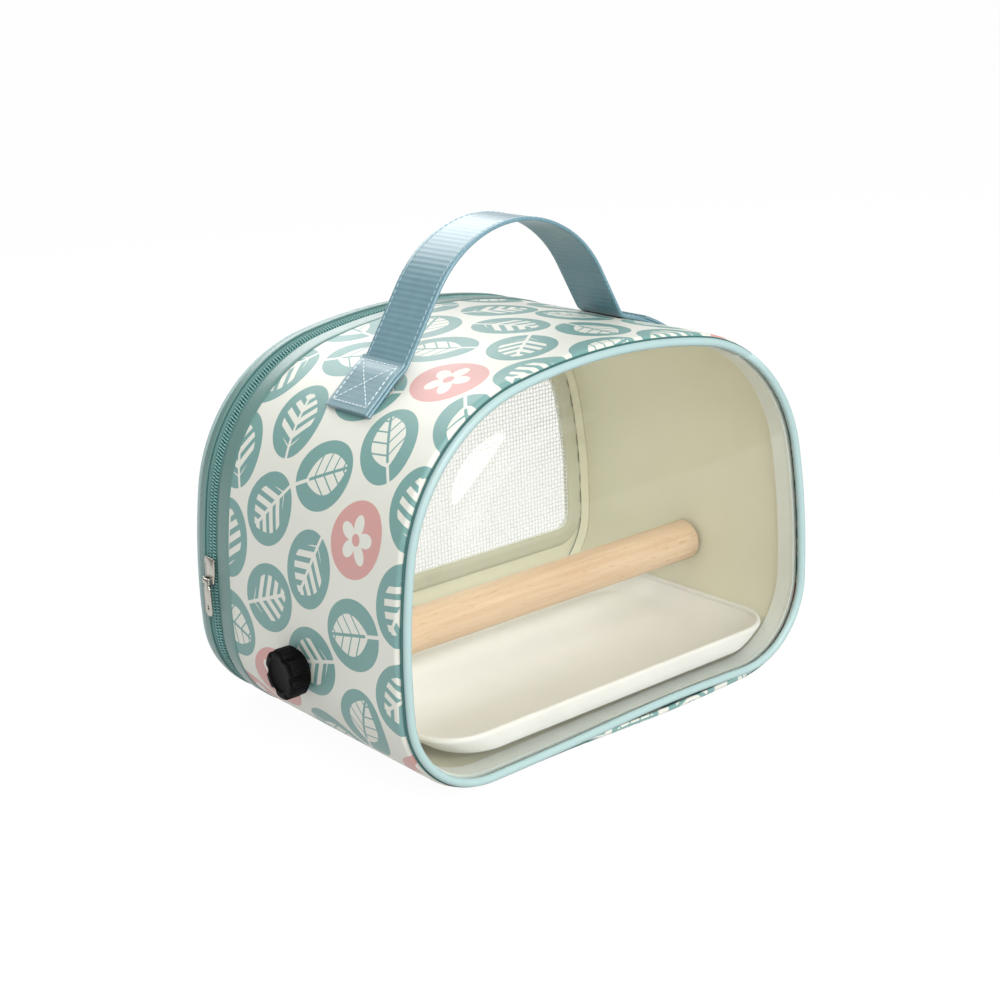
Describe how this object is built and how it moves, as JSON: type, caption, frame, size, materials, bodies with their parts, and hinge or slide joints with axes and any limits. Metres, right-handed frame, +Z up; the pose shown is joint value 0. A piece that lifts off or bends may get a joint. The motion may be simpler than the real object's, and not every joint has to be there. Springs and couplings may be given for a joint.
{
  "type": "bird travel carrier",
  "caption": "Soft loaf-shaped travel carrier for small birds with a clear front, zipped mesh door, webbing handle, wooden perch on screw knobs and a loose tray.",
  "frame": {"origin": "middle of the footprint, on the surface the carrier stands on", "axes": "+X across the clear front, towards the right side when facing it from the front; -Y out through the clear front; +Z up"},
  "size_m": [0.2612, 0.1608, 0.2234],
  "materials": {
    "printed_cover": "satin coated cloth with a printed pattern",
    "board": "plain foam board",
    "lining": "plain cream lining",
    "piping": "satin covered cord",
    "clear_window": "clear gloss",
    "binding": "plain binding tape",
    "teal_fabric": "satin band",
    "zip_tape": "twill tape",
    "zip_coil": "nylon coil",
    "mesh": "open white mesh",
    "webbing": "ribbed webbing",
    "wood": "sanded pale wood",
    "brass": "machined",
    "black_rubber": "matt",
    "black_plastic": "satin moulded",
    "steel": "threaded",
    "zip_metal": "plated",
    "tray_plastic": "fine matt moulded"
  },
  "bodies": {
    "carrier": {"wall_cover": "printed_cover", "wall_board": "board", "floor_board": "board", "wall_lining": "lining", "front_piping": "piping", "front_window": "clear_window", "front_binding": "binding", "zip_band": "teal_fabric", "zip_tape_body": "zip_tape", "zip_coil_body": "zip_coil", "strap_end_left": "webbing", "strap_end_right": "webbing", "perch": "wood", "perch_insert_left": "brass", "perch_insert_right": "brass", "perch_washer_left": "black_rubber", "perch_washer_right": "black_rubber", "knob_flange_left": "black_plastic", "knob_flange_right": "black_plastic"},
    "door": {"zip_coil_door": "zip_coil", "zip_tape_door": "zip_tape", "door_rim": "teal_fabric", "door_piping": "piping", "door_panel": "printed_cover", "door_mesh": "mesh", "mesh_binding_inner": "binding", "mesh_binding_outer": "teal_fabric"},
    "handle": {"handle_strap": "webbing"},
    "knob_left": {"knob_left": "black_plastic", "knob_stud_left": "steel"},
    "knob_right": {"knob_right": "black_plastic", "knob_stud_right": "steel"},
    "slider": {"zip_slider": "zip_metal"},
    "pull": {"zip_pull": "zip_metal"},
    "tray": {"tray": "tray_plastic"}
  },
  "joints": [
    {"name": "door_hinge", "type": "hinge", "parent": "carrier", "child": "door", "pos_m": [0, 0.0804, 0], "axis": [-1, 0, 0], "range_deg": [0, 90]},
    {"name": "handle_swing", "type": "hinge", "parent": "carrier", "child": "handle", "pos_m": [0, -0.0108, 0.1645], "axis": [1, 0, 0], "range_deg": [-28, 28], "stiffness_Nm_per_rad": 0.03},
    {"name": "knob_left_turn", "type": "hinge", "parent": "carrier", "child": "knob_left", "pos_m": [-0.126, -0.0028, 0.0435], "axis": [-1, 0, 0], "continuous": true},
    {"name": "knob_right_turn", "type": "hinge", "parent": "carrier", "child": "knob_right", "pos_m": [0.126, -0.0028, 0.0435], "axis": [1, 0, 0], "continuous": true},
    {"name": "slider_run", "type": "hinge", "parent": "carrier", "child": "slider", "pos_m": [0.19, 0.0656, 0.053], "axis": [0, 1, 0], "range_deg": [-4, 5]},
    {"name": "pull_swing", "type": "hinge", "parent": "slider", "child": "pull", "pos_m": [-0.12272, 0.0656, 0.06683], "axis": [0, 1, 0], "range_deg": [0, 160]},
    {"name": "tray_lift", "type": "slide", "parent": "carrier", "child": "tray", "axis": [0, 0, 1], "range_m": [0, 0.01]}
  ]
}
